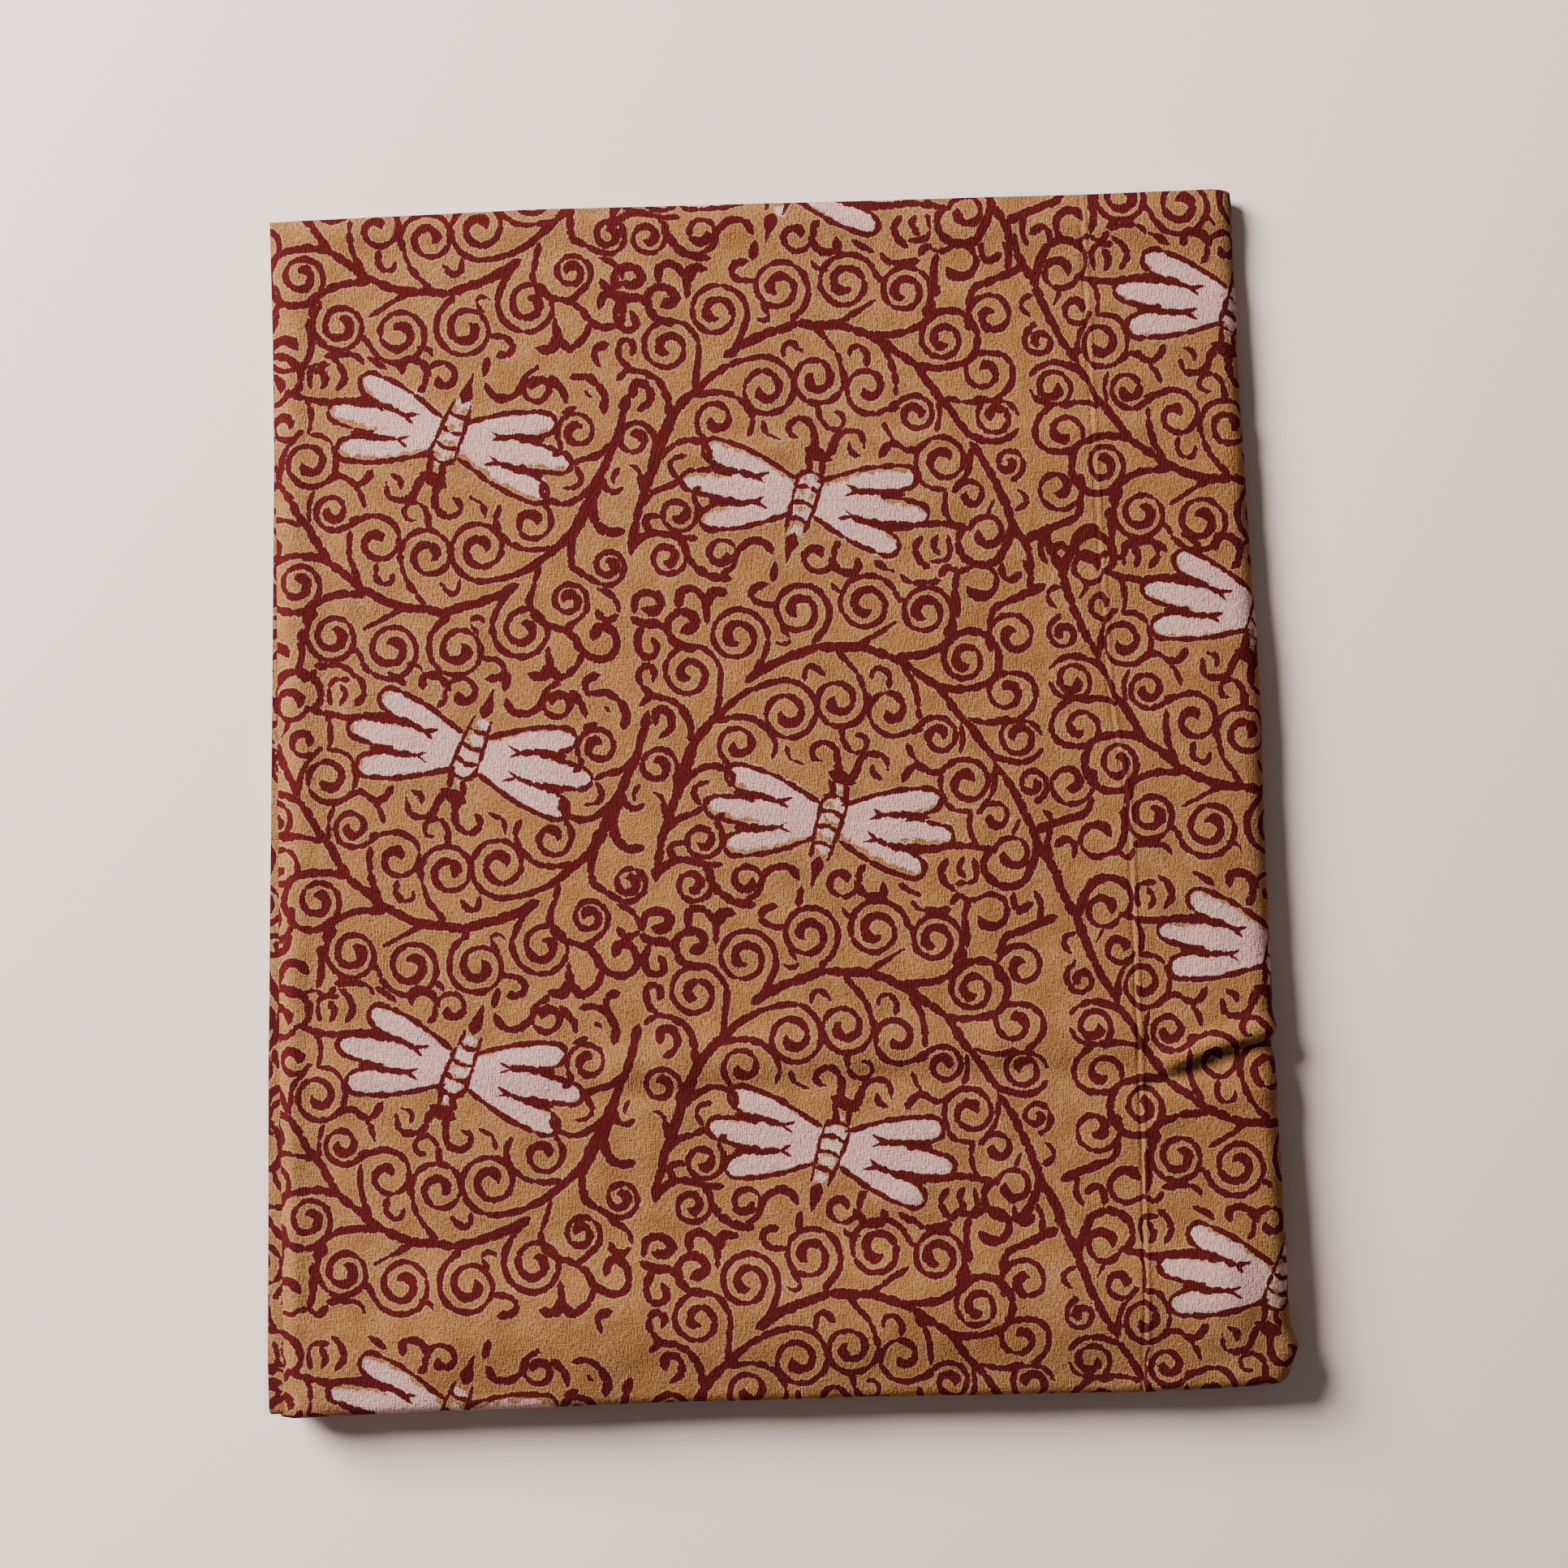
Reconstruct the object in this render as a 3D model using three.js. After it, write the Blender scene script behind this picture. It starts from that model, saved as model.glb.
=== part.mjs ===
// A length of block-printed cotton, folded into a flat packet and laid down.
// The cloth is one piece: it is folded twice along its length and then once across.
// Eight thick layers stand for the thirty-two thin plies of the real packet.
// Millimetres. X runs from the packet's open side to its folded side, Y from the
// folded end to the cut end, Z up. The origin is under the middle of the packet.

import * as THREE from 'three';

// Driving sizes
const sheetThickness = 1.0;
const layerGap = 0.34;
const middleSwell = 0.06;      // how much thicker the whole stack is away from its edges
const topPlyPuff = 0.7;        // air under the top layer, before its creases
const edgeBand = 0.04;         // share of the width or length over which the swell starts
const heldBand = 0.05;         // share of them over which the top layer leaves the one under it

// A run is one pass of the cloth along the packet, a panel one pass across it.
// Both are 1 long in the cloth's own coordinates, with a short span kept for each bend.
const runs = 4;
const panels = 2;
const bendSpan = 0.1;
const bendSteps = 6;
const runsLength = runs + (runs - 1) * bendSpan;
const panelsWidth = panels + (panels - 1) * bendSpan;

// The packet's open side (left) and folded side (right), from the cut end down to the folded end
const sides = [
  { at: 163.5, left: -130.4, right: 132.8 },
  { at: 98.0, left: -131.5, right: 133.5 },
  { at: 30.0, left: -133.9, right: 135.8 },
  { at: -70.0, left: -137.6, right: 136.0 },
  { at: -112.0, left: -138.8, right: 137.2 },
  { at: -150.42, left: -140.0, right: 137.8 },
  { at: -157.0, left: -140.0, right: 140.1 },
  { at: -163.5, left: -140.0, right: 137.7 },
];

// The packet's cut end (top) and folded end (bottom), from the open side to the folded side
const ends = [
  { at: -138.0, top: 162.3, bottom: -163.2 },
  { at: -62.0, top: 163.5, bottom: -162.1 },
  { at: 30.0, top: 162.9, bottom: -162.5 },
  { at: 100.0, top: 162.6, bottom: -163.8 },
  { at: 140.0, top: 162.9, bottom: -162.8 },
];

// How far each layer stops short of the packet's outline, in the upper and lower panel:
// on the open side near the cut end and near the folded end, and at its own two ends
const shortfalls = [
  {
    run: 0,
    upper: { sideNearCut: 0.0, sideNearFold: 4.6, cutEnd: 0.0, foldedEnd: 0.0 },
    lower: { sideNearCut: 2.4, sideNearFold: 1.6, cutEnd: 2.6, foldedEnd: 1.4 },
  },
  {
    run: 1,
    upper: { sideNearCut: 0.7, sideNearFold: 1.5, cutEnd: 1.9, foldedEnd: 0.0 },
    lower: { sideNearCut: 2.0, sideNearFold: 1.1, cutEnd: 1.2, foldedEnd: 1.4 },
  },
  {
    run: 2,
    upper: { sideNearCut: 1.2, sideNearFold: 0.9, cutEnd: 1.9, foldedEnd: 0.0 },
    lower: { sideNearCut: 0.9, sideNearFold: 2.2, cutEnd: 1.2, foldedEnd: 1.4 },
  },
  {
    run: 3,
    upper: { sideNearCut: 0.5, sideNearFold: 0.0, cutEnd: 1.3, foldedEnd: 0.0 },
    lower: { sideNearCut: 1.5, sideNearFold: 0.8, cutEnd: 2.2, foldedEnd: 1.4 },
  },
];

// Ridges (height above 0) and troughs (below 0) of the top layer, half as wide as `reach` says
const creases = [
  // the sharp pinched crease that runs the whole length, near the folded side
  { reach: 5.0, height: 1.1, path: [[91.5, 168], [92.6, 90], [94.4, 27], [98.6, -6], [99, -105], [97, -170]] },
  { reach: 5.0, height: -0.6, path: [[85.5, 168], [86.6, 90], [88.4, 27], [92.6, -6], [93, -105], [91, -170]] },
  // the fainter lengthwise crease beside it
  { reach: 6.0, height: 0.5, path: [[50, 150], [54, 72], [56, 17], [61, -80], [61, -142]] },
  // the roll along the cut end and the trough under it
  { reach: 9.0, height: 0.5, path: [[-120, 157], [20, 158], [128, 157]] },
  { reach: 9.0, height: -0.7, path: [[-95, 147], [38, 145], [128, 147]] },
  // the upper cross crease
  { reach: 8.0, height: 0.7, path: [[-100, 92], [-37, 99], [60, 101], [133, 101]] },
  { reach: 9.0, height: -0.6, path: [[-30, 86], [60, 88], [128, 88]] },
  // the lower cross crease, which deepens into a pucker at the folded side
  { reach: 9.0, height: 0.8, path: [[-128, -66], [-56, -64], [54, -60], [100, -61], [140, -60]] },
  { reach: 7.0, height: -0.7, path: [[-128, -78], [-80, -79], [-56, -74], [54, -69], [92, -71]] },
  { reach: 6.0, height: -1.6, path: [[104, -80], [118, -74], [136, -70]] },
  { reach: 8.0, height: 0.7, path: [[104, -92], [122, -86], [136, -84]] },
  // the soft swell above the folded end, and the hollow along the open side
  { reach: 14.0, height: 0.6, path: [[-110, -136], [0, -138], [120, -134]] },
  { reach: 8.0, height: -0.6, path: [[-121, 60], [-123, 0], [-126, -80], [-127, -130]] },
];

// Rows of points that only the top layer has, on both slopes of its creases, as shares of the packet
const creaseRowsDown = [
  0.02, 0.055, 0.08, 0.12, 0.17, 0.215, 0.24, 0.28, 0.46, 0.52,
  0.63, 0.665, 0.69, 0.735, 0.76, 0.8, 0.88, 0.92,
];
const creaseRowsAcross = [
  0.02, 0.07, 0.14, 0.37, 0.5, 0.66, 0.685, 0.71, 0.75, 0.79,
  0.807, 0.82, 0.835, 0.88, 0.92,
];

const clamp = THREE.MathUtils.clamp;
const lerp = THREE.MathUtils.lerp;
const smooth = THREE.MathUtils.smoothstep;

// How far along a table a value of `at` lies, from 0 at its first row to 1 at its last
function shareOf(table, at) {
  const first = table[0].at;
  const share = (at - first) / (table[table.length - 1].at - first);
  return Number(share.toFixed(4));
}

// Straight steps through one named column of a table, from a share of its length
function columnSteps(table, column) {
  const shares = table.map((row) => shareOf(table, row.at));
  const values = table.map((row) => row[column]);
  const steps = new THREE.LinearInterpolant(shares, values, 1);
  return (share) => steps.evaluate(clamp(share, 0, 1))[0];
}

const openSide = columnSteps(sides, 'left');
const foldedSide = columnSteps(sides, 'right');
const cutEnd = columnSteps(ends, 'top');
const foldedEnd = columnSteps(ends, 'bottom');

// Every layer has rows where the outline and the swell turn, so that the layers nest
const inOrder = (shares) => [...new Set(shares)].sort((a, b) => a - b);
const everyLayerDown = inOrder([edgeBand, 1 - edgeBand, ...sides.map((row) => shareOf(sides, row.at))]);
const everyLayerAcross = inOrder([edgeBand, 1 - edgeBand, ...ends.map((row) => shareOf(ends, row.at))]);
const topLayerDown = inOrder([...everyLayerDown, ...creaseRowsDown]);
const topLayerAcross = inOrder([...everyLayerAcross, ...creaseRowsAcross]);

// Stack heights after each fold, and how far the outermost layer of the last two folds reaches
const foldedOnce = 2 * sheetThickness + layerGap;
const foldedTwice = 2 * foldedOnce + layerGap;
const endFoldReach = foldedOnce + layerGap / 2;
const sideFoldReach = foldedTwice + layerGap / 2;

// Folds a slab of cloth in half along one axis: the second half turns over on top of the first.
// `at` is the place along the axis, `beyond` how far a bend bulges past that place.
function foldInHalf(point, axis, length, thickness) {
  const half = (length - bendSpan) / 2;
  const pivot = thickness + layerGap / 2;
  const { at } = point[axis];
  if (at <= half) return point;
  if (at >= half + bendSpan) {
    return { ...point, [axis]: { ...point[axis], at: length - at }, height: 2 * pivot - point.height };
  }
  const turn = Math.PI * (at - half) / bendSpan;
  const radius = pivot - point.height;
  return {
    ...point,
    [axis]: { at: half, beyond: radius * Math.sin(turn) },
    height: pivot - radius * Math.cos(turn),
  };
}

// Which two passes of the cloth a place lies between, and how far it is from the first to the second
function passAt(place, passes) {
  const step = 1 + bendSpan;
  const first = clamp(Math.floor(place / step), 0, passes - 1);
  const second = Math.min(first + 1, passes - 1);
  return { first, second, share: clamp((place - first * step - 1) / bendSpan, 0, 1) };
}

// A layer's shortfall, which passes evenly from one layer to the next round a bend
function shortfallAt(across, down, column) {
  const run = passAt(down, runs);
  const panel = passAt(across, panels);
  const upperShare = panel.first + panel.share * (panel.second - panel.first);
  const ofRun = (row) => lerp(row.lower[column], row.upper[column], upperShare);
  return lerp(ofRun(shortfalls[run.first]), ofRun(shortfalls[run.second]), run.share);
}

function distanceToPath(x, y, path) {
  const here = new THREE.Vector3(x, y, 0);
  const nearest = new THREE.Vector3();
  let distance = Infinity;
  for (let i = 1; i < path.length; i += 1) {
    const start = new THREE.Vector3(...path[i - 1], 0);
    const end = new THREE.Vector3(...path[i], 0);
    new THREE.Line3(start, end).closestPointToPoint(here, true, nearest);
    distance = Math.min(distance, nearest.distanceTo(here));
  }
  return distance;
}

// How far the top layer is lifted off the one under it, never less than nothing
function creaseLift(x, y, share) {
  let lift = topPlyPuff * share;
  for (const { reach, height, path } of creases) {
    const nearness = 1 - (distanceToPath(x, y, path) / reach) ** 2;
    if (nearness > 0) lift += height * nearness ** 2 * share;
  }
  return Math.max(lift, 0);
}

// 1 in the middle of the packet, falling evenly to 0 at its edges
function insideShare(across, down) {
  const nearEdge = (share) => clamp(Math.min(share, 1 - share) / edgeBand, 0, 1);
  return nearEdge(across) * nearEdge(down);
}

// Where a point of the flat cloth lies in the packet. `face` is 0 on the cloth's printed
// face, which comes out on top, and 1 on its back.
function packetPoint(across, down, face) {
  const flat = { across: { at: across, beyond: 0 }, down: { at: down, beyond: 0 } };
  const onTop = smooth(across, 1 + bendSpan / 4, 1 + bendSpan)
    * (1 - smooth(down, 1, 1 + bendSpan * 3 / 4));

  const folded = (height) => {
    const once = foldInHalf({ ...flat, height }, 'down', runsLength, sheetThickness);
    const twice = foldInHalf(once, 'down', (runsLength - bendSpan) / 2, foldedOnce);
    return foldInHalf(twice, 'across', panelsWidth, foldedTwice);
  };
  const spread = (point) => {
    const sideShort = lerp(
      shortfallAt(across, down, 'sideNearCut'),
      shortfallAt(across, down, 'sideNearFold'),
      point.down.at,
    );
    const left = openSide(point.down.at) + sideShort;
    const right = foldedSide(point.down.at) - sideFoldReach;
    const top = cutEnd(point.across.at) - shortfallAt(across, down, 'cutEnd');
    const bottom = foldedEnd(point.across.at) + endFoldReach + shortfallAt(across, down, 'foldedEnd');
    const outX = point.across.at > 0.5 ? point.across.beyond : -point.across.beyond;
    const outY = point.down.at > 0.5 ? -point.down.beyond : point.down.beyond;
    return {
      x: lerp(left, right, point.across.at) + outX,
      y: lerp(top, bottom, point.down.at) + outY,
    };
  };

  const level = face * sheetThickness;
  let point = folded(level);
  let place = spread(point);
  if (onTop > 0) {
    const sideHold = smooth(point.across.at, 0, heldBand);
    const cutHold = smooth(point.down.at, -heldBand / 2, heldBand / 2);
    point = folded(level - creaseLift(place.x, place.y, onTop * sideHold * cutHold));
    place = spread(point);
  }
  const swell = 1 + middleSwell * insideShare(point.across.at, point.down.at);
  return new THREE.Vector3(place.x, place.y, point.height * swell);
}

// The rows of points over all passes: `shares` says for each pass where they lie in the packet,
// and every other pass comes back the other way
function rowsOfPasses(passes, sharesOf) {
  const rows = [];
  for (let pass = 0; pass < passes; pass += 1) {
    const start = pass * (1 + bendSpan);
    const shares = sharesOf(pass);
    const forward = pass % 2 === 0 ? shares : shares.map((share) => 1 - share).reverse();
    rows.push(...forward.map((share) => start + share));
    if (pass < passes - 1) {
      for (let step = 1; step < bendSteps; step += 1) rows.push(start + 1 + bendSpan * step / bendSteps);
    }
  }
  return rows;
}

// The closed skin of the cloth: its face, its back and the four thin edges between them
function clothGeometry() {
  const downRows = rowsOfPasses(runs, (run) => (run === 0 ? topLayerDown : everyLayerDown));
  const acrossRows = rowsOfPasses(panels, (panel) => (panel === 1 ? topLayerAcross : everyLayerAcross));
  const lastDown = downRows.length - 1;
  const lastAcross = acrossRows.length - 1;
  const positions = [];
  const triangles = [];
  for (const face of [0, 1]) {
    for (const down of downRows) {
      for (const across of acrossRows) positions.push(...packetPoint(across, down, face));
    }
  }
  const corner = (face, row, column) => (face * downRows.length + row) * acrossRows.length + column;
  const quad = (a, b, c, d) => triangles.push(a, b, c, a, c, d);

  for (let row = 0; row < lastDown; row += 1) {
    for (let column = 0; column < lastAcross; column += 1) {
      const square = (face) => [
        corner(face, row, column),
        corner(face, row, column + 1),
        corner(face, row + 1, column + 1),
        corner(face, row + 1, column),
      ];
      const [a, b, c, d] = square(1);
      quad(...square(0));
      quad(a, d, c, b);
    }
  }
  for (let column = 0; column < lastAcross; column += 1) {
    for (const [row, from, to] of [[0, column + 1, column], [lastDown, column, column + 1]]) {
      quad(corner(0, row, from), corner(0, row, to), corner(1, row, to), corner(1, row, from));
    }
  }
  for (let row = 0; row < lastDown; row += 1) {
    for (const [column, from, to] of [[0, row, row + 1], [lastAcross, row + 1, row]]) {
      quad(corner(0, from, column), corner(0, to, column), corner(1, to, column), corner(1, from, column));
    }
  }

  const geometry = new THREE.BufferGeometry();
  geometry.setAttribute('position', new THREE.Float32BufferAttribute(positions, 3));
  geometry.setIndex(triangles);
  geometry.computeVertexNormals();
  geometry.computeBoundingBox();
  const middle = geometry.boundingBox.getCenter(new THREE.Vector3());
  return geometry.translate(-middle.x, -middle.y, 0);
}

const printedCotton = new THREE.MeshStandardMaterial({ color: 0xc39b58, roughness: 0.9, metalness: 0 });

const packet = new THREE.Group();
const cloth = new THREE.Mesh(clothGeometry(), printedCotton);
cloth.name = 'folded_cloth';
packet.add(cloth);

export default packet;
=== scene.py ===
"""A length of block-printed cotton, folded into a flat packet and laid on a pale table.

The cloth is one thin sheet, folded as a draper folds it: selvedge to selvedge, three times
along its length, and once more across. The print is a hand-cut block of scrolls round a
dragonfly, stamped all over the flat cloth before it is folded. Lengths are in millimetres
until the mesh is made, and then in metres.
"""

import math

import bpy
import numpy as np
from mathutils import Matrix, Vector


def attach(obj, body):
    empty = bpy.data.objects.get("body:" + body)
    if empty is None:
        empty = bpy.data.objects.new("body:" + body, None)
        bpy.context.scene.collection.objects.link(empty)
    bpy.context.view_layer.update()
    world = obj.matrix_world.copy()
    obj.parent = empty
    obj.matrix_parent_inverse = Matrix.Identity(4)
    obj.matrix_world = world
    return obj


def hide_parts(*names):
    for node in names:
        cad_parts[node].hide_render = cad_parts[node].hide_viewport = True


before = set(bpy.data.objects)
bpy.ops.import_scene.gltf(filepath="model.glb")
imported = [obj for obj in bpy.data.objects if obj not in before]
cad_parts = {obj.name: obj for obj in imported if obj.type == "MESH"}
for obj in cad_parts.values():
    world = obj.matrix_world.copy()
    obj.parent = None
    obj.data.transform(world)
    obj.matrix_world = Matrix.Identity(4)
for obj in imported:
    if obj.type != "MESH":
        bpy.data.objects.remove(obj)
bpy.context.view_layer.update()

MM = 0.001

# The cloth and its folds
SHEET_THICKNESS = 0.28
LAYER_GAP = 0.0445
PANELS = 4  # passes across the packet
RUNS = 8  # passes along the packet
BEND_SPAN = 0.1  # room kept for a bend in the cloth's own coordinates
BEND_STEPS = 8
STEP = 1 + BEND_SPAN  # from the start of one pass to the next
ACROSS_LENGTH = PANELS + (PANELS - 1) * BEND_SPAN
DOWN_LENGTH = RUNS + (RUNS - 1) * BEND_SPAN

MIDDLE_SWELL = 0.06  # how much thicker the stack is away from its edges
THINNING = (0.56, 1.16)  # how thick it lies at its cut end and at its folded end
EDGE_BAND = 0.04  # share of the packet over which that swell starts
OPEN_BAND = 0.012  # share over which the top layer leaves the one under it, at its open side
CUT_BAND = 0.026  # the same at its cut end
TOP_PLY_PUFF = 1.1  # air under the top layer

# The packet's open side (left) and folded side (right), from the cut end to the folded end
SIDES = (
    # at, left, right
    (163.5, -130.4, 132.8),
    (98.0, -131.5, 133.5),
    (30.0, -133.9, 135.8),
    (-70.0, -137.6, 136.0),
    (-112.0, -138.8, 137.2),
    (-150.42, -140.0, 137.8),
    (-157.0, -140.0, 140.1),
    (-163.5, -140.0, 137.7),
)
# The packet's cut end (top) and folded end (bottom), from the open side to the folded side
ENDS = (
    # at, top, bottom
    (-138.0, 162.3, -163.2),
    (-62.0, 163.5, -162.1),
    (30.0, 162.9, -162.5),
    (100.0, 162.6, -163.8),
    (140.0, 162.9, -162.8),
)

# The sharp pinched crease along the packet, and how much cloth it swallows
PINCHED_CREASE = ((91.5, 168), (92.6, 90), (94.4, 27), (98.6, -6), (99, -105), (97, -170))
PINCHED_AWAY = 1.1
PINCH_HALF_WIDTH = 0.5


def beside_pinch(aside):
    return [(x + aside, y) for x, y in PINCHED_CREASE]


# Ridges (height above 0) and troughs (below 0) of the top layer, each along a path
CREASES = (
    # reach, height, points of the path
    # the pinched crease: a dark groove and a thin raised lip on its right
    (0.8, -0.35, *beside_pinch(-0.4)),
    (1, 0.35, *beside_pinch(0.6)),
    # the fainter lengthwise crease beside it
    (4, 0.2, (50, 150), (54, 72), (56, 17), (61, -80), (61, -142)),
    # the roll along the cut end and the trough under it
    (6, 0.8, (-120, 158), (20, 157), (70, 155), (128, 155)),
    (11, -0.9, (-10, 145), (60, 143), (128, 142)),
    # the upper cross crease, steep above and gentle below
    (4.5, 0.7, (-30, 94), (0, 96), (60, 98), (133, 99)),
    (15, 0.6, (-30, 85), (60, 88), (133, 89)),
    # the lower cross crease, which deepens into a pucker at the folded side
    (9, 1, (-40, -70), (54, -67), (96, -66)),
    (7, 0.3, (-120, -72), (-40, -70)),
    (5, -0.4, (-60, -79), (0, -78), (54, -76.5), (96, -77)),
    (5, 1.9, (108, -73.6), (113, -72.2), (120, -69.6), (129, -67.4), (138, -66)),
    (3, -1, (100, -81.5), (108, -79)),
    (3, -3, (109, -78.6), (114, -76.6), (120, -74.2), (129, -72), (140, -70.4)),
    (6, 0.6, (104, -90), (122, -84), (136, -81)),
    # the soft swell above the folded end
    (22, 2, (-90, -137), (0, -139), (115, -137)),
    # the lit lip along the open side and the hollow beside it
    (4.5, 0.7, (-124, 150), (-126, 76), (-126, -7), (-131.5, -69), (-132, -130)),
    (5, -0.4, (-118, 90), (-117, 60), (-119, 20), (-117, -7)),
    (6, -0.3, (-122, -40), (-124, -69), (-123, -100), (-126, -140)),
    # small slanting wrinkles near the open side and in the middle
    (3, 0.3, (-124, -20), (-118, -8), (-121, 1)),
    (4, 0.3, (-100, 128), (-70, 122), (-48, 124)),
    (4, 0.3, (20, -112), (48, -104), (70, -108)),
)

# Slack that shows as small soft dents all over
DENTS = (
    # size, depth
    (3.1, 0.06),
    (5.3, 0.13),
    (9.7, 0.22),
    (21.0, 0.28),
)
DENT_LENGTH = 1.2  # how much longer than wide a dent is
SIDE_SWAY = (1.7, 1.9)  # how far and how slowly the rows of dents sway sideways
END_SWAY = (1.3, 2.3)  # and endways

# How far each run stops short of the outline: at the open side near the cut end and near the
# folded end, at its cut end and at its folded end. The top run leaves a step at the open side.
TOP_RUN_STEP = (0.0, 4.6, 0.0, 0.0)
SECOND_RUN_STEP = (0.4, 0.0, 1.1, 0.0)
HIDDEN_RUN_STEPS = (0.4, 2.6)
HIDDEN_FOLD_STEPS = (0.0, 0.3)
LOWER_HALF_FOLD_STEP = 1.3
RUN_STEP_SEED = 11
IN_UPPER_HALF = np.array([1.0, 0.0, 0.0, 1.0])  # which passes across lie in the packet's upper half

# Rough size of a pass of the cloth, and sizes of the mesh cells
PASS_WIDTH = 265.0
PASS_LENGTH = 322.0
TOP_CELL = 1.5
CREASE_CELL = 0.42
UNDERSIDE_CELL = 3.2
SIDE_BAND_CELL = 2.0
ROW_CELL = 1.6
CREASE_BAND = (0.845, 0.895)  # share of the width where the pinched crease wanders
SHARP_FOLD = math.radians(50)


def column(table, place):
    return np.array([row[place] for row in table], float)


def share_of(table, at):
    """How far along a table a value of its first column lies, from 0 to 1."""
    first, last = table[0][0], table[-1][0]
    return (np.asarray(at, float) - first) / (last - first)


def steps_through(table, place, share):
    """Straight steps through one column of a table, from a share of its length."""
    return np.interp(share, share_of(table, column(table, 0)), column(table, place))


def smooth(value, low, high):
    share = np.clip((value - low) / (high - low), 0, 1)
    return share * share * (3 - 2 * share)


def fold_in_half(cloth, axis, length, thickness):
    """Turns the second half of a slab of cloth over on top of the first, round a bend in its middle.

    cloth[axis] is the place along the slab, cloth[axis + "_out"] how far a bend bulges past
    that place, and cloth["height"] the height over the slab's lower face.
    """
    half = (length - BEND_SPAN) / 2
    pivot = thickness + LAYER_GAP / 2
    at, out, height = cloth[axis], cloth[axis + "_out"], cloth["height"]
    turned = at >= half + BEND_SPAN
    bending = (at > half) & ~turned
    turn = math.pi * (at - half) / BEND_SPAN
    radius = pivot - height
    folded = dict(cloth)
    folded[axis] = np.where(turned, length - at, np.where(bending, half, at))
    folded[axis + "_out"] = np.where(bending, radius * np.sin(turn), out)
    folded["height"] = np.where(
        turned, 2 * pivot - height, np.where(bending, pivot - radius * np.cos(turn), height)
    )
    return folded


def stack_height(plies):
    return plies * SHEET_THICKNESS + (plies - 1) * LAYER_GAP


def fold_cloth(across, down, height):
    """Folds flat cloth into the packet: selvedges together, three times along, once across."""
    cloth = {"across": across, "down": down, "height": height}
    cloth["across_out"] = 0 * across
    cloth["down_out"] = 0 * down
    cloth = fold_in_half(cloth, "across", ACROSS_LENGTH, stack_height(1))
    doubled = (ACROSS_LENGTH - BEND_SPAN) / 2
    cloth["across"] = doubled - cloth["across"]
    length, plies = DOWN_LENGTH, 2
    while length > 1 + BEND_SPAN:
        cloth = fold_in_half(cloth, "down", length, stack_height(plies))
        length, plies = (length - BEND_SPAN) / 2, plies * 2
    return fold_in_half(cloth, "across", doubled, stack_height(plies))


SIDE_REACH = stack_height(16) + LAYER_GAP / 2
END_REACH = stack_height(8) + LAYER_GAP / 2


def pass_at(place, passes):
    """Which two passes of the cloth a place lies between, and how far it is from one to the next."""
    first = np.clip(np.floor(place / STEP), 0, passes - 1).astype(int)
    second = np.minimum(first + 1, passes - 1)
    return first, second, np.clip((place - first * STEP - 1) / BEND_SPAN, 0, 1)


def run_steps():
    """The steps of each run in the lower half [0] and the upper half [1] of the packet."""
    random = np.random.default_rng(RUN_STEP_SEED)
    steps = random.uniform(*HIDDEN_RUN_STEPS, (2, RUNS, 4))
    steps[:, :, 3] = random.uniform(*HIDDEN_FOLD_STEPS, (2, RUNS))
    steps[0, :, 3] += LOWER_HALF_FOLD_STEP
    steps[1, 0] = TOP_RUN_STEP
    steps[1, RUNS - 1] = SECOND_RUN_STEP
    steps[1, 1, 3] = 0.0
    return steps


STEPS = run_steps()


def step_at(across, down, place):
    """A run's step, which passes evenly from one run to the next round a bend."""
    run, next_run, bend = pass_at(down, RUNS)
    panel, next_panel, turn = pass_at(across, PANELS)
    upper = IN_UPPER_HALF[panel] + turn * (IN_UPPER_HALF[next_panel] - IN_UPPER_HALF[panel])
    of_run = [
        (1 - upper) * STEPS[0, which, place] + upper * STEPS[1, which, place]
        for which in (run, next_run)
    ]
    return of_run[0] + bend * (of_run[1] - of_run[0])


def distance_to_path(x, y, path):
    distance = np.full(np.shape(x), np.inf)
    for (ax, ay), (bx, by) in zip(path, path[1:]):
        share = ((x - ax) * (bx - ax) + (y - ay) * (by - ay)) / ((bx - ax) ** 2 + (by - ay) ** 2)
        share = np.clip(share, 0, 1)
        near = np.hypot(x - ax - share * (bx - ax), y - ay - share * (by - ay))
        distance = np.minimum(distance, near)
    return distance


def crease_lift(x, y):
    """How far the top layer stands off the one under it, never less than nothing."""
    lift = np.full(np.shape(x), TOP_PLY_PUFF)
    for reach, height, *path in CREASES:
        nearness = np.maximum(1 - (distance_to_path(x, y, path) / reach) ** 2, 0)
        lift += height * nearness ** 2
    for size, depth in DENTS:
        sideways = np.sin(x / size + SIDE_SWAY[0] * np.sin(y / size / SIDE_SWAY[1]))
        endways = np.sin(y / size / DENT_LENGTH + END_SWAY[0] * np.sin(x / size / END_SWAY[1]))
        lift += depth * sideways * endways
    return np.maximum(lift, 0)


def place_in_packet(cloth, across, down):
    """Where folded cloth lies on the table, from its shares of the packet's width and length."""
    side_share, end_share = cloth["down"], cloth["across"]
    side_step = step_at(across, down, 0) * (1 - side_share) + step_at(across, down, 1) * side_share
    left = steps_through(SIDES, 1, side_share) + side_step
    right = steps_through(SIDES, 2, side_share) - SIDE_REACH
    top = steps_through(ENDS, 1, end_share) - step_at(across, down, 2)
    bottom = steps_through(ENDS, 2, end_share) + END_REACH + step_at(across, down, 3)
    x = left + (right - left) * end_share + np.sign(end_share - 0.5) * cloth["across_out"]
    y = top + (bottom - top) * side_share - np.sign(side_share - 0.5) * cloth["down_out"]
    return x, y, left, right, top, bottom


def on_first_pass(place):
    """1 on the first pass of the cloth, falling to 0 over most of its bend."""
    return 1 - smooth(place, 1, 1 + BEND_SPAN * 0.75)


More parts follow.
